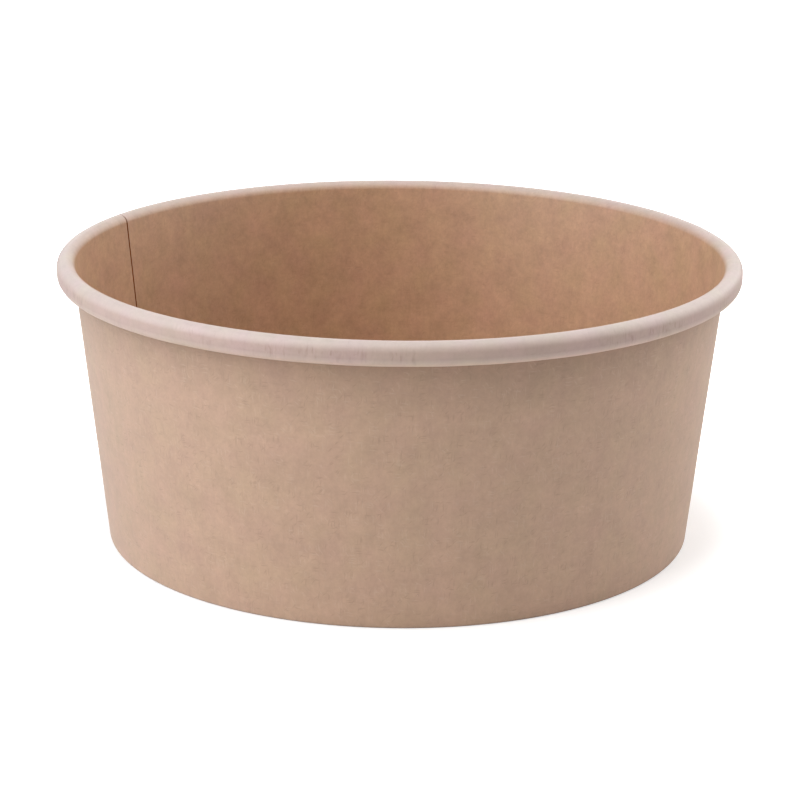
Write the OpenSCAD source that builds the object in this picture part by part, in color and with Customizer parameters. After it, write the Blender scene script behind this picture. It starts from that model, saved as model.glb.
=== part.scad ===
// Round salad bowl of kraft board, made as paper bowls are made: a lapped sidewall
// with a rolled rim, and a base disc whose skirt is gripped in the fold at the foot.
// Millimetres, +Z up. The origin is the middle of the foot, on the table.

/* [Bowl] */
// Diameter over the rolled rim
rim_d = 150; // [140:1:180]
// Diameter of the wall's outside where it meets the table
foot_d = 129.6; // [110:0.2:136]
// Height of the rim's top above the table
height = 63.1; // [35:0.1:110]

/* [Board] */
// Thickness of the coated kraft board
board_t = 0.45; // [0.3:0.05:0.6]
// Film of sealant between two layers
seal_gap = 0.05; // [0.02:0.01:0.1]

/* [Rolled rim] */
// Width of the roll, across its section
roll_w = 4; // [3.2:0.1:5]
// Straight height of the roll's outer side
roll_side = 1.3; // [0.5:0.1:4]
// Angle through which the tucked edge turns inside the roll
tuck_angle = 60; // [20:5:120]

/* [Foot] */
// Depth of the hollow under the base disc
base_recess = 8; // [5:0.5:15]
// Gap between the hem's raw edge and the disc above it
hem_gap = 1; // [0.8:0.1:3]
// Width of the flat ring that the bowl stands on
foot_flat_w = 0.5; // [0.2:0.05:0.7]
// Outside radius of the bend between the disc and its skirt
disc_bend_r = 1; // [0.7:0.1:2]

/* [Lap seam] */
// Direction of the seam's inside edge, anticlockwise from +X
seam_az = 152.8; // [0:0.1:359]
// Width of the double layer
lap_w = 8; // [5:0.5:15]
// Width of the slope by which the outer layer leaves the wall
lap_slope_w = 4; // [2:0.5:6]
// Width of the crevice beside the inside edge
crevice_w = 0.4; // [0.2:0.1:1]
// Board left behind the crevice
crevice_back = 0.15; // [0.1:0.05:0.25]

/* [Hidden] */

$fn = 120;
kraft_outside = "#B39478";
kraft_inside = "#A37D60";

// Straight steps in each bend of the section
bend_steps = 10;
tuck_steps = 4;
fold_steps = 4;

rim_r = rim_d / 2;
foot_r = foot_d / 2;

// Top bend of the roll, under the rim's top and inside its diameter
top_bend_r = roll_w / 2;
top_bend_at = [rim_r - top_bend_r, height - top_bend_r];

// Lean of the wall from upright: its outer face rises from the foot and
// runs tangent to the hollow of the top bend
wall_run = top_bend_at - [foot_r, 0];
lean = atan2(wall_run.x, wall_run.y) - asin((top_bend_r - board_t) / norm(wall_run));

// Low bend of the roll, between the roll's outer side and the wall
low_bend_z = top_bend_at.y - roll_side;
low_bend_r = ((rim_r - foot_r) * cos(lean) - low_bend_z * sin(lean) - seal_gap) / (1 + cos(lean));
low_bend_at = [rim_r - low_bend_r, low_bend_z];

// Depths behind the wall's outer face of the layers in the foot's fold
skirt_outside = board_t + seal_gap;
skirt_inside = skirt_outside + board_t;
hem_outside = skirt_inside + seal_gap;
hem_inside = hem_outside + board_t;
hem_top = base_recess - hem_gap;
fold_r = (hem_inside - foot_flat_w) / 2;
floor_z = base_recess + board_t;

// Sizes along the wall's circle at the foot, as angles
mm_angle = 180 / (PI * foot_r);
lap_angle = lap_w * mm_angle;
slope_angle = lap_slope_w * mm_angle;
crevice_angle = crevice_w * mm_angle;

// Clear margins of the cutting shapes
cut_over = 0.3;
slope_cut = 20;

// Radius, at height z, of the cone that lies depth behind the wall's outer face
function wall_r(depth, z) = foot_r + z * tan(lean) - depth / cos(lean);

// Points on an arc about a centre, from one angle to another
function arc(centre, radius, from, to, steps) =
    [for (i = [0 : steps])
        let (a = from + (to - from) * i / steps)
        centre + radius * [cos(a), sin(a)]];

function reversed(points) = [for (i = [len(points) - 1 : -1 : 0]) points[i]];

// Line over the roll, depth under the coated face, which ends low_turn round the low bend
function roll_line(depth, low_turn) = concat(
    arc(top_bend_at, top_bend_r - depth, 180 - lean, 0, bend_steps),
    arc(low_bend_at, low_bend_r - depth, 0, -low_turn, bend_steps));

// Line of the tucked edge inside the roll, depth under its coated face
function tuck_line(depth) =
    arc(top_bend_at, top_bend_r - skirt_outside - depth, 180 - lean, 180 - lean - tuck_angle, tuck_steps);

// Section of the wall, its roll and the fold and hem at its foot
module sidewall_section() {
    full_turn = 180 + lean;
    polygon(concat(
        [[wall_r(board_t, board_t), board_t]],
        roll_line(0, full_turn),
        tuck_line(0),
        reversed(tuck_line(board_t)),
        reversed(roll_line(board_t, full_turn)),
        arc([wall_r(fold_r, fold_r), fold_r], fold_r, -lean, -90, fold_steps),
        arc([wall_r(hem_inside - fold_r, fold_r), fold_r], fold_r, -90, -180 - lean, fold_steps),
        [[wall_r(hem_inside, hem_top), hem_top],
         [wall_r(hem_outside, hem_top), hem_top],
         [wall_r(hem_outside, board_t), board_t]]));
}

// Section of the outer flap: it lies on the wall from the table up into the roll
module flap_section() {
    rooted = board_t / 2;
    polygon(concat(
        [[wall_r(rooted, 0), 0]],
        arc([wall_r(0, board_t), board_t], board_t, -90, -lean, fold_steps),
        [[wall_r(-board_t, low_bend_z), low_bend_z],
         [wall_r(rooted, low_bend_z), low_bend_z]]));
}

// Outer flap of the lap: a square cut edge on one side, and a long slope on the
// other where the outer layer comes down to the wall
module outer_flap() {
    sagitta = foot_r * (1 - cos(slope_angle));
    slope_tilt = atan2(board_t - sagitta, lap_slope_w);
    difference() {
        rotate(seam_az - lap_angle)
            rotate_extrude(angle = lap_angle + slope_angle) flap_section();
        rotate(seam_az + slope_angle)
            translate([foot_r, 0, 0])
            rotate([0, lean, 0])
            rotate(slope_tilt)
            translate([0, -slope_cut, -slope_cut])
            cube([slope_cut, 2 * slope_cut, height + 2 * slope_cut]);
    }
}

// Crevice beside the inner flap's cut edge, from the floor up and over the roll
module crevice() {
    crevice_depth = board_t - crevice_back;
    rotate(seam_az)
        rotate_extrude(angle = crevice_angle)
            polygon(concat(
                [[wall_r(board_t + cut_over, floor_z), floor_z]],
                roll_line(-cut_over, 90),
                reversed(roll_line(crevice_depth, 90)),
                [[wall_r(crevice_back, floor_z), floor_z]]));
}

// One blank of board, wrapped, lapped and sealed, rolled over at the top and
// folded in and up at the foot
module sidewall() {
    color(kraft_outside)
        difference() {
            union() {
                rotate_extrude() sidewall_section();
                outer_flap();
            }
            crevice();
        }
}

// Disc with its edge turned down as a skirt, which stands in the foot's fold
module base_disc() {
    bend_at = [wall_r(skirt_outside + disc_bend_r, floor_z - disc_bend_r), floor_z - disc_bend_r];
    color(kraft_inside)
        rotate_extrude()
            polygon(concat(
                [[0, base_recess], [0, floor_z]],
                arc(bend_at, disc_bend_r, 90, -lean, fold_steps),
                [[wall_r(skirt_outside, board_t), board_t],
                 [wall_r(skirt_inside, board_t), board_t]],
                arc(bend_at, disc_bend_r - board_t, -lean, 90, fold_steps)));
}

sidewall();
base_disc();
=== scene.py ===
import logging
import math
from dataclasses import dataclass, replace
from enum import Enum, IntEnum

import bmesh
import bpy
from mathutils import Matrix, Vector, noise


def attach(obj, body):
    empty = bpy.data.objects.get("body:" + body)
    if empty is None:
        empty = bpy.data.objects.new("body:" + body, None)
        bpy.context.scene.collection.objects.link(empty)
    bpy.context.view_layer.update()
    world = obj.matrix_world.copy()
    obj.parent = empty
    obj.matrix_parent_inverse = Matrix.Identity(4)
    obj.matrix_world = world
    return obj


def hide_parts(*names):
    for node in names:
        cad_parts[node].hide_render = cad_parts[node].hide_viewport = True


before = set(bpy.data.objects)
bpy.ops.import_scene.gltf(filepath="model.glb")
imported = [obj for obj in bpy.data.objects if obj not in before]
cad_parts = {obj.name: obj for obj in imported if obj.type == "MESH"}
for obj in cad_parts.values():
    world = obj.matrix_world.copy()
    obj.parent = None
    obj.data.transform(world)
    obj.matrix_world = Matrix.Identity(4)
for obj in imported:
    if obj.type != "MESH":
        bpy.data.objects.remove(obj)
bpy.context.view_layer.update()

LOG = logging.getLogger("kraft_bowl")
MM = 0.001
FULL_TURN = math.tau
QUARTER_TURN = math.pi / 2
Rgb = tuple[int, int, int]
Point = tuple[float, float]
Span = tuple[float, float]
Triple = tuple[float, float, float]
UV_MAP = "board_mm"

# Weights of a mark at the start and the end of a stroke of the section
NONE: Span = (0.0, 0.0)
WHOLE: Span = (1.0, 1.0)
RISING: Span = (0.0, 1.0)
FALLING: Span = (1.0, 0.0)


class Zone(IntEnum):
    """Faces of the board: each has its own finish, in this order."""

    RAW = 1
    COATED = 2
    # Cut edges of the board, and the crevice beside the seam, whose floor takes this dark finish as
    # painted shade
    CUT = 3


class Mark(Enum):
    """Vertex layers that say how much of a trait a place has."""

    RIM = "rim"
    BAND = "band"
    LIP = "lip"
    SHADE = "shade"
    FOLD = "fold"
    FLAP = "flap"
    CREVICE = "crevice"
    RIPPLE = "ripple"


def smooth(part: float) -> float:
    """Eases a share from 0 to 1."""
    part = min(1.0, max(0.0, part))
    return part * part * (3 - 2 * part)


def part_of(value: float, span: Span) -> float:
    """Share of the way from a span's first end to its second."""
    return (value - span[0]) / (span[1] - span[0])


def srgb(red: int, green: int, blue: int) -> tuple[float, float, float, float]:
    """Linear colour of a colour picked in 8-bit sRGB.

    Args:
        red: Red, 0 to 255.
        green: Green, 0 to 255.
        blue: Blue, 0 to 255.

    Returns:
        The linear red, green and blue, and an alpha of 1.
    """
    def linear(value: int) -> float:
        part = value / 255
        return part / 12.92 if part <= 0.04045 else ((part + 0.055) / 1.055) ** 2.4

    return linear(red), linear(green), linear(blue), 1.0


@dataclass(frozen=True)
class BowlSizes:
    """Sizes of the bowl, in metres and radians, the same as its solids have."""

    rim_radius: float = 75 * MM
    foot_radius: float = 64.8 * MM
    height: float = 63.1 * MM
    board: float = 0.45 * MM
    seal_gap: float = 0.05 * MM
    roll_width: float = 4 * MM
    roll_side: float = 1.3 * MM
    tuck_turn: float = math.radians(60)
    recess: float = 8 * MM
    hem_gap: float = 1 * MM
    foot_flat: float = 0.5 * MM
    disc_bend: float = 1 * MM
    seam_azimuth: float = math.radians(152.8)
    lap_width: float = 8 * MM
    lap_slope: float = 4 * MM
    crevice_width: float = 0.4 * MM
    crevice_depth: float = 0.4 * MM

    @property
    def top_bend(self) -> tuple[Point, float]:
        """Centre and radius of the roll's top bend."""
        radius = self.roll_width / 2
        return (self.rim_radius - radius, self.height - radius), radius

    @property
    def lean(self) -> float:
        """Angle of the wall from upright.

        Returns:
            The angle at which the wall runs tangent to the hollow of the roll's top bend.
        """
        (x, z), radius = self.top_bend
        run = x - self.foot_radius
        return math.atan2(run, z) - math.asin((radius - self.board) / math.hypot(run, z))

    @property
    def inwards(self) -> Vector:
        """Direction across the section from the wall's outer face to its coated one."""
        return Vector((-math.cos(self.lean), math.sin(self.lean)))

    @property
    def over_turn(self) -> float:
        """Angle of the roll's top bend."""
        return math.pi - self.lean

    @property
    def under_turn(self) -> float:
        """Angle of the roll's low bend."""
        return math.pi + self.lean

    @property
    def low_bend(self) -> tuple[Point, float]:
        """Centre and radius of the roll's low bend.

        Returns:
            The bend that touches the rim's side, and clears the wall by the film of sealant.
        """
        z = self.top_bend[0][1] - self.roll_side
        across = (self.rim_radius - self.foot_radius) * math.cos(self.lean)
        radius = (across - z * math.sin(self.lean) - self.seal_gap) / (1 + math.cos(self.lean))
        return (self.rim_radius - radius, z), radius

    @property
    def fold_width(self) -> float:
        """Thickness of the foot's fold: wall, skirt and hem."""
        return 3 * self.board + 2 * self.seal_gap

    @property
    def fold_radius(self) -> float:
        """Outside radius of the two bends of the foot's fold."""
        return (self.fold_width - self.foot_flat) / 2

    @property
    def lap(self) -> float:
        """Angle of the double layer."""
        return self.lap_width / self.foot_radius

    @property
    def slope(self) -> float:
        """Angle of the slope by which the outer layer leaves the wall."""
        return self.lap_slope / self.foot_radius

    @property
    def crevice(self) -> float:
        """Angle of the crevice beside the seam's inside edge."""
        return self.crevice_width / self.foot_radius

    @property
    def floor_z(self) -> float:
        """Height of the base disc's upper face."""
        return self.recess + self.board

    def wall_radius(self, depth: float, z: float) -> float:
        """Radius of the cone behind the wall's outer face.

        Args:
            depth: Distance behind the outer face.
            z: Height above the table.

        Returns:
            The radius at that height.
        """
        return self.foot_radius + z * math.tan(self.lean) - depth / math.cos(self.lean)

    def wall_point(self, depth: float, z: float) -> Point:
        """Point of the section at a depth behind the wall's outer face and a height."""
        return self.wall_radius(depth, z), z


class SectionPen:
    """Draws a section of board as one line in the plane y = 0, with bmesh operators.

    The line goes round the board with the board on its right, seen with +X to the
    right and +Z up.
    """

    def __init__(self, start: Point) -> None:
        """Puts the pen down.

        Args:
            start: Radius and height of the first point.
        """
        self.mesh = bmesh.new()
        self.zone = self.mesh.edges.layers.int.new("zone")
        self.out = self.mesh.verts.layers.float_vector.new("out")
        self.along = self.mesh.verts.layers.float.new("along")
        self.marks = {mark: self.mesh.verts.layers.float.new(mark.value) for mark in Mark}
        self.first = self.mesh.verts.new((start[0], 0, start[1]))
        self.tip = self.first

    def _take(self, zone: Zone, before: int, weights: dict[Mark, Span]) -> None:
        """Marks the points and edges of the last stroke.

        Args:
            zone: The face of the board that the stroke draws.
            before: Number of points before the stroke.
            weights: For each mark, its weight at the stroke's start and end.
        """
        self.mesh.verts.ensure_lookup_table()
        made = self.mesh.verts[before:]
        for number, vert in enumerate(made, start=1):
            edge = next(edge for edge in vert.link_edges if edge.other_vert(vert) == self.tip)
            edge[self.zone] = zone
            vert[self.along] = self.tip[self.along] + edge.calc_length()
            for mark, layer in self.marks.items():
                low, high = weights.get(mark, NONE)
                vert[layer] = low + (high - low) * number / len(made)
            self.tip = vert

    def run(self, end: Point, steps: int, zone: Zone, weights: dict[Mark, Span] | None = None) -> None:
        """Draws a straight stroke.

        Args:
            end: Radius and height of its end.
            steps: Number of equal steps.
            zone: The face of the board that it draws.
            weights: For each mark, its weight at the start and the end.
        """
        before = len(self.mesh.verts)
        step = (Vector((end[0], 0, end[1])) - self.tip.co) / steps
        tip = self.tip
        for _ in range(steps):
            tip = bmesh.ops.extrude_vert_indiv(self.mesh, verts=[tip])["verts"][0]
            bmesh.ops.translate(self.mesh, verts=[tip], vec=step)
        self._take(zone, before, weights or {})

    def bend(
        self, centre: Point, turn: float, steps: int, zone: Zone, weights: dict[Mark, Span] | None = None
    ) -> None:
        """Draws a round stroke.

        Args:
            centre: Radius and height of the bend's centre.
            turn: Angle turned, positive clockwise.
            steps: Number of equal steps.
            zone: The face of the board that it draws.
            weights: For each mark, its weight at the start and the end.
        """
        before = len(self.mesh.verts)
        bmesh.ops.spin(
            self.mesh, geom=[self.tip], cent=(centre[0], 0, centre[1]), axis=(0, 1, 0),
            angle=turn, steps=steps, use_merge=False, use_duplicate=False,
        )
        self._take(zone, before, weights or {})

    def close(self, zone: Zone) -> None:
        """Joins the last point to the first."""
        self.mesh.edges.new((self.tip, self.first))[self.zone] = zone

    def lift(self) -> bmesh.types.BMesh:
        """Stores at each point the direction out of the board, and lifts the pen.

        Returns:
            The mesh with the section.
        """
        for vert in self.mesh.verts:
            flow = Vector((0, 0, 0))
            for edge in vert.link_edges:
                other = edge.other_vert(vert)
                step = (other.co - vert.co).normalized()
                flow += step if other[self.along] > vert[self.along] else -step
            vert[self.out] = Vector((-flow.z, 0, flow.x)).normalized()
        return self.mesh


@dataclass(frozen=True)
class BoardPiece:
    """A piece of board made by turning a section about the bowl's axis."""

    sizes: BowlSizes
    name: str
    node: str
    slot: str
    crease: float = math.radians(32)
    merge: float = 0.001 * MM

    def section(self) -> SectionPen:
        """Draws the section."""
        raise NotImplementedError

    def sweeps(self) -> list[tuple[float, int]]:
        """Stretches of the turn from the seam all the way round: angle and steps."""
        raise NotImplementedError

    def shape(self, mesh: bmesh.types.BMesh, pen: SectionPen) -> None:
        """Moves the turned points where the board isn't round."""
        raise NotImplementedError

    def azimuth(self, place: Vector) -> float:
        """Angle of a place from the seam's inside edge, 0 to a full turn."""
        return (math.atan2(place.y, place.x) - self.sizes.seam_azimuth) % FULL_TURN

    def zone_of(self, face: bmesh.types.BMFace, drawn: Zone) -> Zone:
        """Zone of a face, from the zone that the section gives it."""
        return drawn

    def unrolled(self, azimuth: float, zone: Zone) -> float:
        """Angle of a face on the unrolled board."""
        return azimuth

    def turned(self, pen: SectionPen) -> bmesh.types.BMesh:
        """Turns the section into a ring and gives each face its material.

        Args:
            pen: The finished section.

        Returns:
            The ring. Where it took several sweeps, its two ends are in the same place, unmerged.
        """
        mesh = pen.lift()
        start = Matrix.Rotation(self.sizes.seam_azimuth, 3, "Z")
        bmesh.ops.rotate(mesh, verts=mesh.verts[:], cent=(0, 0, 0), matrix=start)
        geom = mesh.verts[:] + mesh.edges[:]
        for angle, steps in self.sweeps():
            made = bmesh.ops.spin(
                mesh, geom=geom, cent=(0, 0, 0), axis=(0, 0, 1), angle=angle,
                steps=steps, use_merge=angle == FULL_TURN, use_duplicate=False,
            )
            geom = made["geom_last"]
        for face in mesh.faces:
            drawn = Zone(max(edge[pen.zone] for edge in face.edges))
            face.material_index = self.zone_of(face, drawn) - 1
        return mesh

    def lay_uv(self, mesh: bmesh.types.BMesh, pen: SectionPen) -> None:
        """Lays the UV map: millimetres round the rim, and millimetres along the section.

        Args:
            mesh: The turned mesh.
            pen: The pen that drew the section.
        """
        uv = mesh.loops.layers.uv.new(UV_MAP)
        for face in mesh.faces:
            zone = Zone(face.material_index + 1)
            middle = self.unrolled(self.azimuth(face.calc_center_median()), zone)
            for loop in face.loops:
                here = self.azimuth(loop.vert.co)
                here -= FULL_TURN * round((here - middle) / FULL_TURN)
                loop[uv].uv = (here * self.sizes.rim_radius / MM, loop.vert[pen.along] / MM)

    def build(self, finishes: list[bpy.types.Material]) -> bpy.types.Object:
        """Builds the piece, dresses it and ties it to the frame.

        Args:
            finishes: One material for each zone, in the zones' order.

        Returns:
            The piece's object.
        """
        pen = self.section()
        mesh = self.turned(pen)
        self.lay_uv(mesh, pen)
        self.shape(mesh, pen)
        bmesh.ops.remove_doubles(mesh, verts=mesh.verts[:], dist=self.merge)
        bmesh.ops.recalc_face_normals(mesh, faces=mesh.faces[:])
        for face in mesh.faces:
            face.smooth = True
        for edge in mesh.edges:
            edge.smooth = edge.calc_face_angle(math.pi) < self.crease
        data = bpy.data.meshes.new(self.name)
        mesh.to_mesh(data)
        mesh.free()
        piece = bpy.data.objects.new(self.name, data)
        bpy.context.scene.collection.objects.link(piece)
        for finish in finishes:
            data.materials.append(finish)
        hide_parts(self.node)
        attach(piece, "root")
        return piece


@dataclass(frozen=True)
class Swell:
    """A slight wave of the board: its depth, and how fast it changes round and up the bowl."""

    depth: float
    rate_round: float
    rate_up: float

    def at(self, azimuth: float, z: float) -> float:
        """Height of the wave at a place, from -depth to depth."""
        around = Vector((math.cos(azimuth), math.sin(azimuth), 0)) * self.rate_round
        return self.depth * noise.noise(around + Vector((0, 0, z * self.rate_up)))


@dataclass(frozen=True)
class Sidewall(BoardPiece):
    """The wall: wrapped, lapped, rolled over at the top and folded in and up at the foot."""

    name: str = "wall"
    node: str = "sidewall"
    slot: str = "wall_board"
    cut_step: float = math.radians(0.02)
    crevice_steps: int = 2
    slope_steps: int = 5
    lap_steps: int = 9
    ring_steps: int = 350
    wall_steps: int = 16
    side_steps: int = 3
    fade_steps: int = 4
    crown_steps: int = 7
    curl_steps: int = 4
    tuck_steps: int = 4
    hollow_steps: int = 14
    fold_steps: int = 5
    hem_steps: int = 4
    short_steps: int = 2
    fade_turns: tuple[float, ...] = tuple(math.radians(turn) for turn in (24, 21, 22, 20))
    fade_shares: tuple[float, ...] = (0.0, 0.35, 0.72, 0.84, 1.0)
    crest_turn: float = math.radians(30)
    shade_drop: float = 18 * MM
    wave: Swell = Swell(0.07 * MM, 1.6, 14)
    wave_low: Span = (12 * MM, 24 * MM)
    wave_high: Span = (58 * MM, 50 * MM)
    ripple: Swell = Swell(0.03 * MM, 9, 90)
    rim_dip: float = 0.15 * MM

    def section(self) -> SectionPen:
        """Draws the wall's section, from the fold's inside up the coated face and back.

        Returns:
            The pen with the closed section.
        """
        s = self.sizes
        pen = SectionPen(s.wall_point(s.board, s.board))
        pen.run(s.wall_point(s.board, s.floor_z), self.side_steps, Zone.COATED)
        self._draw_coated_roll(pen)
        self._draw_roll_inside(pen)
        self._draw_outside(pen)
        self._draw_hem(pen)
        pen.close(Zone.COATED)
        return pen

    def _draw_coated_roll(self, pen: SectionPen) -> None:
        """Draws the coated face from the floor up, over the roll and in to the tucked edge.

        Args:
            pen: The pen, at the height of the floor.
        """
        s = self.sizes
        top, top_radius = s.top_bend
        low, _ = s.low_bend
        tuck_radius = top_radius - s.board - s.seal_gap
        inside = {Mark.CREVICE: WHOLE}
        roll = {Mark.RIM: WHOLE, Mark.CREVICE: WHOLE, Mark.RIPPLE: WHOLE}
        # Over the crown the roll's outer side darkens into painted shade
        darkening = {**roll, Mark.BAND: RISING}
        side = {**roll, Mark.BAND: WHOLE}
        # At the low bend the painted shade gives way to painted bounce light from the floor underneath
        lightening = {**roll, Mark.BAND: FALLING, Mark.LIP: RISING}
        painted_light_underneath = {**roll, Mark.LIP: WHOLE}
        hidden = {Mark.RIM: WHOLE, Mark.LIP: WHOLE}
        pen.run(tuple(Vector(top) + top_radius * s.inwards), self.wall_steps, Zone.COATED, inside)
        for turn, share in zip(self.fade_turns, zip(self.fade_shares, self.fade_shares[1:])):
            pen.bend(top, turn, self.fade_steps, Zone.COATED, {**inside, Mark.RIM: share})
        pen.bend(top, self.crest_turn, self.fade_steps, Zone.COATED, roll)
        rest = s.over_turn - sum(self.fade_turns) - self.crest_turn
        pen.bend(top, rest, self.crown_steps, Zone.COATED, darkening)
        pen.run((s.rim_radius, low[1]), self.side_steps, Zone.COATED, side)
        pen.bend(low, QUARTER_TURN / 2, self.curl_steps, Zone.COATED, lightening)
        pen.bend(low, QUARTER_TURN / 2, self.curl_steps, Zone.COATED, painted_light_underneath)
        pen.bend(low, s.under_turn - QUARTER_TURN, self.crown_steps, Zone.COATED, hidden)
        pen.run(tuple(Vector(top) + tuck_radius * s.inwards), self.short_steps, Zone.COATED, hidden)
        pen.bend(top, s.tuck_turn, self.tuck_steps, Zone.COATED, hidden)

    def _draw_roll_inside(self, pen: SectionPen) -> None:
        """Draws the tucked edge's cut, and the raw face back round the roll's hollow.

        Args:
            pen: The pen, at the end of the tucked edge.
        """
        s = self.sizes
        top, _ = s.top_bend
        low, low_radius = s.low_bend
        tip = Vector((pen.tip.co.x, pen.tip.co.z))
        pen.run(tuple(tip + s.board * (Vector(top) - tip).normalized()), 1, Zone.CUT)
        pen.bend(top, -s.tuck_turn, self.tuck_steps, Zone.RAW)
        hollow_foot = Vector(low) + (low_radius - s.board) * s.inwards
        pen.run(tuple(hollow_foot), self.short_steps, Zone.RAW)
        pen.bend(low, -s.under_turn, self.hollow_steps, Zone.RAW)
        pen.run((s.rim_radius - s.board, top[1]), 1, Zone.RAW)
        pen.bend(top, -s.over_turn, self.hollow_steps, Zone.RAW)

    def _draw_outside(self, pen: SectionPen) -> None:
        """Draws the wall's outer face, from inside the roll down to the foot's fold.

        Args:
            pen: The pen, at the top of the roll's hollow.
        """
        s = self.sizes
        low, low_radius = s.low_bend
        # Painted shade below the roll: full at its foot, fading out over shade_drop
        shaded = {Mark.FLAP: WHOLE, Mark.SHADE: FALLING}
        pen.run(s.wall_point(0, low[1] - low_radius / 2), 1, Zone.RAW, {Mark.SHADE: WHOLE})
        pen.run(s.wall_point(0, s.height - self.shade_drop), self.wall_steps // 2, Zone.RAW, shaded)
        fold_top = Vector(s.wall_point(s.fold_radius, s.fold_radius)) - s.fold_radius * s.inwards
        pen.run(tuple(fold_top), self.wall_steps, Zone.RAW, {Mark.FLAP: WHOLE})

    def _draw_hem(self, pen: SectionPen) -> None:
        """Draws the fold that the bowl stands on, the hem up to its cut edge, and its inside.

        Args:
            pen: The pen, at the foot of the wall's outer face.
        """
        s = self.sizes
        hem_top = s.recess - s.hem_gap
        hem_outside = s.fold_width - s.board
        first = s.wall_point(s.fold_radius, s.fold_radius)
        second = s.wall_point(s.fold_width - s.fold_radius, s.fold_radius)
        foot = {Mark.FLAP: WHOLE, Mark.FOLD: WHOLE}
        fold = {Mark.FOLD: WHOLE}
        pen.bend(first, QUARTER_TURN - s.lean, self.fold_steps, Zone.RAW, foot)
        pen.run((second[0], 0), 1, Zone.RAW, fold)
        pen.bend(second, QUARTER_TURN + s.lean, self.fold_steps, Zone.RAW, fold)
        pen.run(s.wall_point(s.fold_width, hem_top), self.hem_steps, Zone.RAW)
        pen.run(s.wall_point(hem_outside, hem_top), 1, Zone.CUT)
        pen.run(s.wall_point(hem_outside, s.board), self.short_steps, Zone.COATED)

    def sweeps(self) -> list[tuple[float, int]]:
        """Stretches of the turn from the seam's inside edge all the way round."""
        s = self.sizes
        rest = FULL_TURN - s.lap - self.cut_step - s.slope
        return [
            (self.cut_step, 1),
            (s.crevice - 2 * self.cut_step, self.crevice_steps),
            (self.cut_step, 1),
            (s.slope - s.crevice, self.slope_steps),
            (rest, self.ring_steps),
            (self.cut_step, 1),
            (s.lap, self.lap_steps),
        ]

    def zone_of(self, face: bmesh.types.BMFace, drawn: Zone) -> Zone:
        """Gives the cut-edge finish to the crevice on the wall and to the outer flap's end: the crevice's
        cut face is a real cut edge, and its floor takes the dark finish as painted shade.

        Args:
            face: The face.
            drawn: The zone that the section gives it.

        Returns:
            The face's zone.
        """
        s = self.sizes
        centre = face.calc_center_median()
        azimuth = self.azimuth(centre)
        wall_top = s.top_bend[0][1]
        in_crevice = azimuth < s.crevice and s.floor_z < centre.z < wall_top
        # The crevice's floor takes the dark cut-edge finish as painted shade
        if drawn is Zone.COATED and in_crevice and centre.xy.length < s.wall_radius(0, centre.z):
            return Zone.CUT
        flap_end = FULL_TURN - s.lap - self.cut_step
        if drawn is Zone.RAW and flap_end < azimuth < flap_end + self.cut_step:
            return Zone.CUT
        return drawn

    def unrolled(self, azimuth: float, zone: Zone) -> float:
        """Angle of a face on the unrolled board, which ends outside at the flap's cut edge.

        Args:
            azimuth: Angle of the face from the seam's inside edge.
            zone: The face's zone.

        Returns:
            The angle, negative on the outer flap's outside.
        """
        flap_end = FULL_TURN - self.sizes.lap - self.cut_step
        return azimuth - FULL_TURN if zone is Zone.RAW and azimuth > flap_end else azimuth

    def flap_rise(self, azimuth: float) -> float:
        """How far the outer layer stands off the wall.

        Args:
            azimuth: Angle from the seam's inside edge.

        Returns:
            The rise: one board over the lap, and a smooth slope down past the seam.
        """
        s = self.sizes
        if azimuth < s.slope:
            return s.board * smooth(1 - azimuth / s.slope)
        return s.board if azimuth > FULL_TURN - s.lap - self.cut_step / 2 else 0.0

    def shape(self, mesh: bmesh.types.BMesh, pen: SectionPen) -> None:
        """Moves the points of the flap, the crevice and the board's slight waves.

        Args:
            mesh: The turned mesh.
            pen: The pen that drew the section.
        """
        s = self.sizes
        half_cut = self.cut_step / 2
        turn_end = FULL_TURN - half_cut / 2
        for vert in mesh.verts:
            here = math.atan2(vert.co.y, vert.co.x)
            azimuth = self.azimuth(vert.co)
            azimuth = 0.0 if azimuth > turn_end else azimuth
            weight = {mark: vert[layer] for mark, layer in pen.marks.items()}
            out = vert[pen.out]
            z = vert.co.z
            spread = smooth(part_of(z, self.wave_low)) * smooth(part_of(z, self.wave_high))
            radius = vert.co.xy.length + spread * self.wave.at(here, z)
            radius += weight[Mark.FLAP] * out.x * self.flap_rise(azimuth)
            dip = weight[Mark.RIPPLE] * (self.ripple.depth + self.ripple.at(here, z))
            if half_cut < azimuth < s.crevice - half_cut:
                deepest = s.crevice_depth + (self.rim_dip - s.crevice_depth) * weight[Mark.RIM]
                dip += weight[Mark.CREVICE] * deepest
            radius -= dip * out.x
            flat = radius * Vector((math.cos(here), math.sin(here)))
            vert.co = (flat.x, flat.y, z - dip * out.z)


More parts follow.
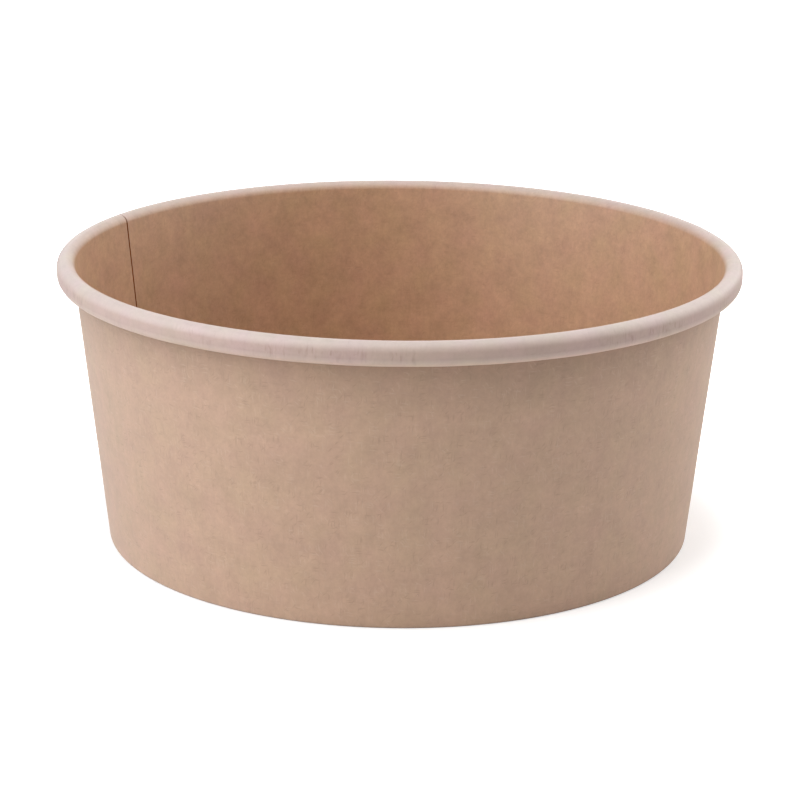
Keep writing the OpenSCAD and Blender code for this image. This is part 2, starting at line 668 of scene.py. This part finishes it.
@dataclass(frozen=True)
class BaseDisc(BoardPiece):
    """The base: a disc with its edge turned down as a skirt."""

    name: str = "base"
    node: str = "base_disc"
    slot: str = "base_board"
    ring_steps: int = 300
    disc_steps: int = 16
    bend_steps: int = 5
    skirt_steps: int = 2
    crown: float = 0.25 * MM

    def section(self) -> SectionPen:
        """Draws the disc's section, from the middle of its top round to its underside.

        Returns:
            The pen with the open section, which starts and ends on the axis.
        """
        s = self.sizes
        outside = s.board + s.seal_gap
        inside = outside + s.board
        bend_z = s.floor_z - s.disc_bend
        bend = s.wall_point(outside + s.disc_bend, bend_z)
        turn = QUARTER_TURN + s.lean
        fold = {Mark.FOLD: WHOLE}
        inner_end = Vector(bend) - (s.disc_bend - s.board) * s.inwards
        pen = SectionPen((0, s.floor_z))
        pen.run((bend[0], s.floor_z), self.disc_steps, Zone.COATED)
        pen.bend(bend, turn, self.bend_steps, Zone.COATED, fold)
        pen.run(s.wall_point(outside, s.board), self.skirt_steps, Zone.COATED)
        pen.run(s.wall_point(inside, s.board), 1, Zone.CUT)
        pen.run(tuple(inner_end), self.skirt_steps, Zone.RAW)
        pen.bend(bend, -turn, self.bend_steps, Zone.RAW, fold)
        pen.run((0, s.recess), self.disc_steps, Zone.RAW)
        return pen

    def sweeps(self) -> list[tuple[float, int]]:
        """One even turn."""
        return [(FULL_TURN, self.ring_steps)]

    def lay_uv(self, mesh: bmesh.types.BMesh, pen: SectionPen) -> None:
        """Lays the UV map: millimetres along X and Y on the disc, and round the skirt.

        Args:
            mesh: The turned mesh.
            pen: The pen that drew the section.
        """
        super().lay_uv(mesh, pen)
        uv = mesh.loops.layers.uv[UV_MAP]
        for face in mesh.faces:
            heights = [vert.co.z for vert in face.verts]
            if max(heights) - min(heights) < self.merge:
                for loop in face.loops:
                    loop[uv].uv = loop.vert.co.xy / MM

    def shape(self, mesh: bmesh.types.BMesh, pen: SectionPen) -> None:
        """Gives the disc a slight crown.

        Args:
            mesh: The turned mesh.
            pen: The pen that drew the section.
        """
        s = self.sizes
        flat_radius = s.wall_radius(s.board + s.seal_gap + s.disc_bend, s.floor_z)
        for vert in mesh.verts:
            vert.co.z += self.crown * smooth(part_of(vert.co.xy.length, (flat_radius, 0)))


@dataclass(frozen=True)
class Mottle:
    """A flat noise: its coarsest waves to a mm, its finer octaves and their strength, its shift."""

    scale: float
    detail: float
    roughness: float = 0.5
    shift: Triple | None = None


class NodeTree:
    """Adds and links nodes in a material or a node group, with few words."""

    # Sockets of a Mix node that mixes colours: its factor and two colours, and its result
    MIX_INPUTS = (0, 6, 7)
    MIX_OUTPUT = 2

    def __init__(self, tree: bpy.types.NodeTree) -> None:
        """Takes the tree to add to."""
        self.tree = tree

    def add(self, kind: str, inputs: dict | None = None, **values: object) -> bpy.types.Node:
        """Adds a node.

        Args:
            kind: The node's type.
            inputs: Input name or number to a value or to the socket that feeds it.
            **values: The node's own properties.

        Returns:
            The node.
        """
        node = self.tree.nodes.new(kind)
        for key, value in values.items():
            setattr(node, key, value)
        for key, value in (inputs or {}).items():
            socket = node.inputs[key]
            if isinstance(value, bpy.types.NodeSocket):
                self.tree.links.new(value, socket)
            else:
                socket.default_value = value
        return node

    def math(self, operation: str, *terms: object, clamp: bool = False) -> bpy.types.NodeSocket:
        """Adds a Math node and returns its output."""
        inputs = dict(enumerate(terms))
        return self.add("ShaderNodeMath", inputs, operation=operation, use_clamp=clamp).outputs[0]

    def ramp(
        self, value: bpy.types.NodeSocket, span: Span, levels: Span = (0.0, 1.0)
    ) -> bpy.types.NodeSocket:
        """Maps a value smoothly from one range to another, and clamps it.

        Args:
            value: The value.
            span: The range that it has.
            levels: What the range's two ends become.

        Returns:
            The mapped value.
        """
        inputs = {
            "Value": value,
            "From Min": span[0],
            "From Max": span[1],
            "To Min": levels[0],
            "To Max": levels[1],
        }
        node = self.add("ShaderNodeMapRange", inputs, interpolation_type="SMOOTHSTEP")
        return node.outputs["Result"]

    def mark(self, mark: Mark) -> bpy.types.NodeSocket:
        """Reads the weight of one of the vertex layers."""
        return self.add("ShaderNodeAttribute", attribute_name=mark.value).outputs["Fac"]

    def colour(self, rgb: Rgb) -> bpy.types.NodeSocket:
        """Adds a colour picked in 8-bit sRGB and returns its output."""
        node = self.add("ShaderNodeRGB")
        node.outputs[0].default_value = srgb(*rgb)
        return node.outputs[0]

    def signed(self, value: bpy.types.NodeSocket, reach: float) -> bpy.types.NodeSocket:
        """Turns a noise about 0.5 into an even swing about 0."""
        return self.math("MULTIPLY", self.math("SUBTRACT", value, 0.5), reach)

    def vector(self, operation: str, *terms: object) -> bpy.types.NodeSocket:
        """Adds a Vector Math node and returns its output; SCALE takes a vector and a number."""
        names = (0, "Scale") if operation == "SCALE" else range(len(terms))
        return self.add("ShaderNodeVectorMath", dict(zip(names, terms)), operation=operation).outputs[0]

    def moved(self, place: bpy.types.NodeSocket, by: Triple) -> bpy.types.NodeSocket:
        """Shifts a place."""
        return self.vector("ADD", place, by)

    def noise(
        self, place: bpy.types.NodeSocket, mottle: Mottle, output: str = "Fac"
    ) -> bpy.types.NodeSocket:
        """Adds a flat noise.

        Args:
            place: The place, in millimetres.
            mottle: The noise's scale, octaves and shift.
            output: Fac for one value about 0.5, or Color for three.

        Returns:
            The node's output of that name.
        """
        if mottle.shift is not None:
            place = self.moved(place, mottle.shift)
        inputs = {
            "Vector": place,
            "Scale": mottle.scale,
            "Detail": mottle.detail,
            "Roughness": mottle.roughness,
        }
        return self.add("ShaderNodeTexNoise", inputs, noise_dimensions="2D").outputs[output]

    def mix(
        self, factor: bpy.types.NodeSocket, first: bpy.types.NodeSocket, second: bpy.types.NodeSocket
    ) -> bpy.types.NodeSocket:
        """Mixes two colours and returns the result.

        Args:
            factor: Share of the second.
            first: The first colour.
            second: The second colour.

        Returns:
            The mixed colour.
        """
        inputs = dict(zip(self.MIX_INPUTS, (factor, first, second)))
        return self.add("ShaderNodeMix", inputs, data_type="RGBA").outputs[self.MIX_OUTPUT]


@dataclass(frozen=True)
class Fibres:
    """Fibres that lie much the same way: angle in degrees, sizes in mm, share of places."""

    angle: float
    length: float
    width: float
    share: float


class PulpTexture:
    """Node group with the look of pressed pulp: uneven tone and hue, fibres and flecks."""

    PALE = (Fibres(4, 1.5, 0.20, 0.20), Fibres(88, 1.6, 0.20, 0.22), Fibres(47, 1.1, 0.18, 0.16))
    DARK = (Fibres(-3, 1.3, 0.20, 0.18), Fibres(94, 1.4, 0.20, 0.20), Fibres(136, 1.0, 0.18, 0.16))
    # Offsets that keep the layers of fibres apart, in cells
    PALE_SHIFT = 3.0
    DARK_SHIFT = 17.0
    LAYER_SHIFT = 7.3
    HALF_CELL = 0.5
    CROWD = Mottle(0.22, 1.0)
    CROWD_SPAN = (0.38, 0.62)
    CROWD_LEVELS = (0.25, 1.0)
    CURL = Mottle(0.55, 1.0)
    CURL_REACH = (0.6, 0.6, 0.0)
    TONE = Mottle(0.13, 4.0, 0.95)
    HUE = Mottle(0.11, 1.5, 0.6, (31.0, 17.0, 0.0))
    STREAK = Mottle(1.7, 1.0, 0.6)
    STREAK_STRETCH = (1.0, 0.15, 1.0)
    STREAK_SPAN = (0.42, 0.75)
    # Patches where the painted shade of the roll's wrinkles shows
    STREAK_PATCHES = Mottle(0.07, 1.0, shift=(5.0, 41.0, 0.0))
    STREAK_PATCH_SPAN = (0.35, 0.6)
    BROKEN = Mottle(0.5, 1.0, shift=(23.0, 3.0, 0.0))
    BROKEN_SPAN = (0.35, 0.65)
    GRAIN = Mottle(2.2, 2.0, 0.6)
    PALE_RISE = 0.35
    DARK_RISE = -0.3
    OUTPUTS = ("Tone", "Hue", "Pale fibre", "Dark fleck", "Streak", "Height")

    def __init__(self) -> None:
        """Builds the group once."""
        self.group = bpy.data.node_groups.new("pressed_pulp", "ShaderNodeTree")
        face = self.group.interface
        face.new_socket("Place", in_out="INPUT", socket_type="NodeSocketVector")
        for name in self.OUTPUTS:
            face.new_socket(name, in_out="OUTPUT", socket_type="NodeSocketFloat")
        nodes = NodeTree(self.group)
        place = nodes.add("NodeGroupInput").outputs["Place"]
        drift = nodes.noise(place, self.CURL, "Color")
        curled = nodes.vector("MULTIPLY_ADD", drift, self.CURL_REACH, place)
        pale = self._fibres(nodes, curled, self.PALE, self.PALE_SHIFT)
        dark = self._fibres(nodes, curled, self.DARK, self.DARK_SHIFT)
        raised = nodes.math("MULTIPLY_ADD", pale, self.PALE_RISE, nodes.noise(curled, self.GRAIN))
        made = {
            "Tone": nodes.noise(place, self.TONE),
            "Hue": nodes.noise(place, self.HUE),
            "Pale fibre": pale,
            "Dark fleck": dark,
            "Streak": self._streaks(nodes, place, curled),
            "Height": nodes.math("MULTIPLY_ADD", dark, self.DARK_RISE, raised),
        }
        nodes.add("NodeGroupOutput", made)

    def _streaks(
        self, nodes: NodeTree, place: bpy.types.NodeSocket, curled: bpy.types.NodeSocket
    ) -> bpy.types.NodeSocket:
        """Adds the fine streaks that cross the roll: painted shade of its fine wrinkles, shown in
        patches.

        Args:
            nodes: The group's node adder.
            place: The place on the board, in millimetres.
            curled: The same place, bent a little.

        Returns:
            A mask, up to 1 on a streak.
        """
        across = nodes.noise(nodes.vector("MULTIPLY", curled, self.STREAK_STRETCH), self.STREAK)
        patches = nodes.ramp(nodes.noise(place, self.STREAK_PATCHES), self.STREAK_PATCH_SPAN)
        broken = nodes.ramp(nodes.noise(place, self.BROKEN), self.BROKEN_SPAN)
        where = nodes.math("MULTIPLY", patches, broken)
        return nodes.math("MULTIPLY", nodes.ramp(across, self.STREAK_SPAN), where)

    def _fibres(
        self, nodes: NodeTree, place: bpy.types.NodeSocket, layers: tuple[Fibres, ...], shift: float
    ) -> bpy.types.NodeSocket:
        """Adds the fibres of several layers, thick in some places and thin in others.

        Args:
            nodes: The group's node adder.
            place: The place on the board, in millimetres.
            layers: The layers of fibres.
            shift: Offset that keeps two calls apart.

        Returns:
            A mask, up to 1 on a fibre.
        """
        total = None
        for number, layer in enumerate(layers):
            mark = self._layer(nodes, place, layer, shift + self.LAYER_SHIFT * number)
            total = mark if total is None else nodes.math("MAXIMUM", total, mark)
        crowd = nodes.noise(place, replace(self.CROWD, shift=(shift, -shift, 0.0)))
        return nodes.math("MULTIPLY", total, nodes.ramp(crowd, self.CROWD_SPAN, self.CROWD_LEVELS))

    def _layer(
        self, nodes: NodeTree, place: bpy.types.NodeSocket, layer: Fibres, offset: float
    ) -> bpy.types.NodeSocket:
        """Adds one layer of fibres: long cells, of which some hold a fibre.

        Args:
            nodes: The group's node adder.
            place: The place on the board, in millimetres.
            layer: The layer.
            offset: Offset of its cells.

        Returns:
            A mask, up to 1 on a fibre.
        """
        turn = {"Vector": place, "Angle": -math.radians(layer.angle)}
        turned = nodes.add("ShaderNodeVectorRotate", turn, rotation_type="Z_AXIS").outputs[0]
        cell = (self.HALF_CELL / layer.length, self.HALF_CELL / layer.width, 1.0)
        squeezed = nodes.moved(nodes.vector("MULTIPLY", turned, cell), (offset, offset, 0.0))
        spots = {"Vector": squeezed, "Scale": 1.0}
        cells = nodes.add("ShaderNodeTexVoronoi", spots, voronoi_dimensions="2D").outputs
        chance = nodes.add("ShaderNodeSeparateColor", {"Color": cells["Color"]}).outputs[0]
        strength = nodes.ramp(chance, (1 - layer.share, 1 - layer.share / 3))
        body = nodes.ramp(cells["Distance"], (0.0, self.HALF_CELL), (1.0, 0.0))
        return nodes.math("MULTIPLY", body, strength)


@dataclass(frozen=True)
class KraftFinish:
    """A finish of kraft board: its colours, how much of each mark shows, and its gloss."""

    name: str
    body: Rgb
    tone: float
    hue: float
    fibre: Rgb
    fibre_share: float
    # Colour of the dark flecks; the painted shade at the foot, below the roll and in the roll's wrinkles
    # darkens towards it too
    fleck: Rgb
    fleck_share: float
    roughness: float
    bump: float
    specular: float = 0.4
    sheen: float = 0.0
    sheen_roughness: float = 0.6
    grain_height: float = 0.05 * MM
    hue_swing: Triple = (1.0, -0.7, 1.6)
    # Shares of painted shade: at the foot's fold, as contact shade, and below the roll, as shade under
    # its overhang
    fold_shade: float = 0.0
    rim_shade: float = 0.0
    # Colour of the roll: partly the coating's own paler colour, partly painted highlight and painted
    # reflection of the white surroundings
    rim: Rgb | None = None
    # Painted shade: the darker middle of the roll's outer side, which gets less light than its top
    band: Rgb = (187, 161, 150)
    # Painted light: the lighter underside of the roll, where bounce light from the floor falls
    lip: Rgb = (217, 190, 173)
    rim_calm: float = 0.5
    # Share of the painted shade of the roll's fine wrinkles, as dark streaks
    painted_wrinkle_shade: float = 0.0

    def build(self, texture: PulpTexture) -> bpy.types.Material:
        """Builds the material.

        Args:
            texture: The shared pulp texture.

        Returns:
            The material.
        """
        material = bpy.data.materials.new(self.name)
        material.use_nodes = True
        tree = material.node_tree
        tree.nodes.clear()
        nodes = NodeTree(tree)
        place = nodes.add("ShaderNodeUVMap", uv_map=UV_MAP).outputs["UV"]
        pulp = nodes.add("ShaderNodeGroup", {"Place": place}, node_tree=texture.group).outputs
        bump = nodes.add("ShaderNodeBump", {
            "Height": pulp["Height"],
            "Strength": self.bump,
            "Distance": self.grain_height,
        })
        shader = nodes.add("ShaderNodeBsdfPrincipled", {
            "Base Color": self._colour(nodes, pulp),
            "Roughness": self.roughness,
            "Normal": bump.outputs[0],
            "Specular IOR Level": self.specular,
            "Sheen Weight": self.sheen,
            "Sheen Roughness": self.sheen_roughness,
        })
        nodes.add("ShaderNodeOutputMaterial", {"Surface": shader.outputs[0]})
        return material

    def _colour(self, nodes: NodeTree, pulp: bpy.types.NodeOutputs) -> bpy.types.NodeSocket:
        """Adds the board's colour: the roll's paler coating, partly painted highlight and reflection,
        with painted shade and light on it; the painted shade at the foot and below the roll; and the
        marks of its pulp.

        Args:
            nodes: The material's node adder.
            pulp: The pulp texture's outputs.

        Returns:
            The colour.
        """
        base = nodes.colour(self.body)
        calm: bpy.types.NodeSocket | float = 1.0
        # The roll's colour carries painted highlight, reflection, shade and bounce light
        if self.rim is not None:
            base = self._roll_colour_and_painted_light(nodes, base, pulp["Streak"])
            calm = nodes.math("MULTIPLY_ADD", nodes.mark(Mark.RIM), -self.rim_calm, 1.0)
        # Painted shade: darker at the foot's fold and below the roll, where shade falls
        for mark, share in ((Mark.FOLD, self.fold_shade), (Mark.SHADE, self.rim_shade)):
            if share > 0:
                shade = nodes.math("MULTIPLY", nodes.mark(mark), share)
                base = nodes.mix(shade, base, nodes.colour(self.fleck))
        tone = nodes.math("MULTIPLY", nodes.signed(pulp["Tone"], self.tone), calm)
        toned = nodes.vector("SCALE", base, nodes.math("ADD", tone, 1.0))
        hue = nodes.signed(pulp["Hue"], self.hue)
        swing = nodes.add("ShaderNodeCombineXYZ", {"X": hue, "Y": hue, "Z": hue}).outputs[0]
        tint = nodes.vector("MULTIPLY_ADD", swing, self.hue_swing, (1, 1, 1))
        colour = nodes.vector("MULTIPLY", toned, tint)
        for mask, share, own in (
            ("Pale fibre", self.fibre_share, self.fibre), ("Dark fleck", self.fleck_share, self.fleck)
        ):
            shown = nodes.math("MULTIPLY", pulp[mask], nodes.math("MULTIPLY", calm, share))
            colour = nodes.mix(shown, colour, nodes.colour(own))
        return colour

    def _roll_colour_and_painted_light(
        self, nodes: NodeTree, base: bpy.types.NodeSocket, painted_wrinkle_shade: bpy.types.NodeSocket
    ) -> bpy.types.NodeSocket:
        """Adds the roll's colour: its paler coating, partly painted highlight and reflection of the white
        surroundings, the painted shade on its outer side, the painted bounce light on its underside, and
        the painted shade of its fine wrinkles.

        Args:
            nodes: The material's node adder.
            base: The board's colour.
            painted_wrinkle_shade: The mask of the streaks.

        Returns:
            The colour.
        """
        for mark, own in ((Mark.RIM, self.rim), (Mark.BAND, self.band), (Mark.LIP, self.lip)):
            base = nodes.mix(nodes.mark(mark), base, nodes.colour(own))
        # Painted shade of the roll's fine wrinkles, as dark streaks on its outer side
        share = nodes.math("MULTIPLY", nodes.mark(Mark.BAND), self.painted_wrinkle_shade)
        return nodes.mix(nodes.math("MULTIPLY", painted_wrinkle_shade, share), base, nodes.colour(self.fleck))


RAW_KRAFT = KraftFinish(
    "kraft_raw", body=(187, 152, 126), tone=0.42, hue=0.05, fibre=(224, 200, 178), fibre_share=0.16,
    fleck=(112, 84, 62), fleck_share=0.23, roughness=0.6, bump=0.15, specular=0.75, sheen=0.15,
    fold_shade=0.3, rim_shade=0.28,
)
COATED_KRAFT = KraftFinish(
    "kraft_coated", body=(180, 142, 112), tone=0.66, hue=0.08, fibre=(216, 186, 162), fibre_share=0.08,
    fleck=(118, 78, 54), fleck_share=0.18, roughness=0.5, bump=0.06, specular=0.6,
    # Roll colour: partly painted highlight and reflection; the last share is painted shade of the roll's
    # wrinkles
    rim=(195, 178, 170), rim_calm=0.6, painted_wrinkle_shade=0.24,
)
# Cut edges, and the crevice beside the seam, whose floor is darker with painted shade
CUT_AND_CREVICE_KRAFT = KraftFinish(
    "kraft_cut_edge_and_crevice_shade", body=(160, 98, 48), tone=0.5, hue=0.1, fibre=(150, 114, 86), fibre_share=0.2,
    fleck=(80, 50, 32), fleck_share=0.3, roughness=0.9, bump=0.3, specular=0.2,
)


@dataclass(frozen=True)
class Softbox:
    """A square lamp that looks at the bowl: where it stands, in degrees, power and tint."""

    name: str
    azimuth: float
    elevation: float
    watts: float
    distance: float = 1.0
    side: float = 0.7
    colour: Triple = (1.0, 1.0, 1.0)

    def build(self) -> bpy.types.Object:
        """Builds the lamp and turns it to the bowl.

        Returns:
            The lamp's object.
        """
        data = bpy.data.lights.new(self.name, "AREA")
        data.shape = "SQUARE"
        data.size = self.side
        data.energy = self.watts
        data.color = self.colour
        lamp = bpy.data.objects.new(self.name, data)
        turn = Matrix.Rotation(math.radians(self.azimuth) + QUARTER_TURN, 4, "Z")
        tilt = Matrix.Rotation(QUARTER_TURN - math.radians(self.elevation), 4, "X")
        reach = Matrix.Translation((0, 0, self.distance))
        lamp.matrix_world = turn @ tilt @ reach
        bpy.context.scene.collection.objects.link(lamp)
        return lamp


@dataclass(frozen=True)
class Studio:
    """Camera, lamps, world and floor."""

    lens: float = 120.4
    distance: float = 0.5981
    elevation: float = math.radians(16.963)
    roll: float = math.radians(0.509)
    target: Triple = (0.0003, 0, 0.0289)
    clip: Span = (0.01, 20.0)
    floor_side: float = 6.0
    floor_colour: Rgb = (224, 224, 224)
    floor_glow: Span = (0.35, 1.0)
    glow_reach: Span = (0.066, 0.09)
    softboxes: tuple[Softbox, ...] = (
        Softbox("left", 180, 25, 3.0, colour=(0.84, 1.0, 1.2)),
        Softbox("front_left", -140, 25, 4.6),
        Softbox("front_left_high", -140, 62, 5.4),
        Softbox("right", 0, 25, 3.5),
        Softbox("right_high", 0, 62, 2.2),
        Softbox("back_right", 40, 30, 3.35),
        Softbox("back", 90, 30, 1.05),
    )

    def camera(self) -> bpy.types.Object:
        """Sets the camera where the photograph was taken from.

        Returns:
            The camera's object.
        """
        data = bpy.data.cameras.new("camera")
        data.lens = self.lens
        data.clip_start, data.clip_end = self.clip
        camera = bpy.data.objects.new("camera", data)
        back = Vector((0, -math.cos(self.elevation), math.sin(self.elevation)))
        turn = Matrix.Rotation(QUARTER_TURN - self.elevation, 4, "X") @ Matrix.Rotation(self.roll, 4, "Z")
        camera.matrix_world = Matrix.Translation(Vector(self.target) + self.distance * back) @ turn
        bpy.context.scene.collection.objects.link(camera)
        bpy.context.scene.camera = camera
        return camera

    def world(self) -> None:
        """Makes the world a white that only the camera, gloss and clear pieces see."""
        world = bpy.data.worlds.new("studio")
        bpy.context.scene.world = world
        world.use_nodes = True
        tree = world.node_tree
        tree.nodes.clear()
        nodes = NodeTree(tree)
        path = nodes.add("ShaderNodeLightPath").outputs
        seen = nodes.math("ADD", path["Is Camera Ray"], path["Is Glossy Ray"])
        seen = nodes.math("ADD", seen, path["Is Transmission Ray"], clamp=True)
        background = nodes.add("ShaderNodeBackground", {"Color": (1, 1, 1, 1), "Strength": seen})
        nodes.add("ShaderNodeOutputWorld", {"Surface": background.outputs[0]})

    def floor(self) -> bpy.types.Object:
        """Lays the white floor, which keeps the bowl's shadow.

        Returns:
            The floor's object.
        """
        mesh = bmesh.new()
        bmesh.ops.create_grid(mesh, x_segments=1, y_segments=1, size=self.floor_side / 2)
        data = bpy.data.meshes.new("floor")
        mesh.to_mesh(data)
        mesh.free()
        floor = bpy.data.objects.new("floor", data)
        bpy.context.scene.collection.objects.link(floor)
        material = bpy.data.materials.new("floor_white")
        material.use_nodes = True
        tree = material.node_tree
        tree.nodes.clear()
        nodes = NodeTree(tree)
        seen = nodes.add("ShaderNodeLightPath").outputs["Is Camera Ray"]
        place = nodes.add("ShaderNodeTexCoord").outputs["Object"]
        away = nodes.add("ShaderNodeVectorMath", {0: place}, operation="LENGTH").outputs["Value"]
        level = nodes.ramp(away, self.glow_reach, self.floor_glow)
        matt = nodes.add("ShaderNodeBsdfDiffuse", {"Color": srgb(*self.floor_colour)})
        glow = nodes.add("ShaderNodeEmission", {"Strength": nodes.math("MULTIPLY", seen, level)})
        both = nodes.add("ShaderNodeAddShader", {0: matt.outputs[0], 1: glow.outputs[0]})
        nodes.add("ShaderNodeOutputMaterial", {"Surface": both.outputs[0]})
        data.materials.append(material)
        return floor

    def build(self) -> None:
        """Builds the whole studio."""
        self.camera()
        self.world()
        self.floor()
        for softbox in self.softboxes:
            softbox.build()
        bpy.context.scene.view_settings.view_transform = "Standard"


def main() -> None:
    """Builds the studio and the bowl, and reports each piece."""
    logging.basicConfig(level=logging.INFO, format="%(name)s: %(message)s")
    sizes = BowlSizes()
    Studio().build()
    texture = PulpTexture()
    finishes = [finish.build(texture) for finish in (RAW_KRAFT, COATED_KRAFT, CUT_AND_CREVICE_KRAFT)]
    for part in (Sidewall(sizes), BaseDisc(sizes)):
        piece = part.build(finishes)
        LOG.info("%s: %d faces", piece.name, len(piece.data.polygons))


if __name__ == "__main__":
    main()
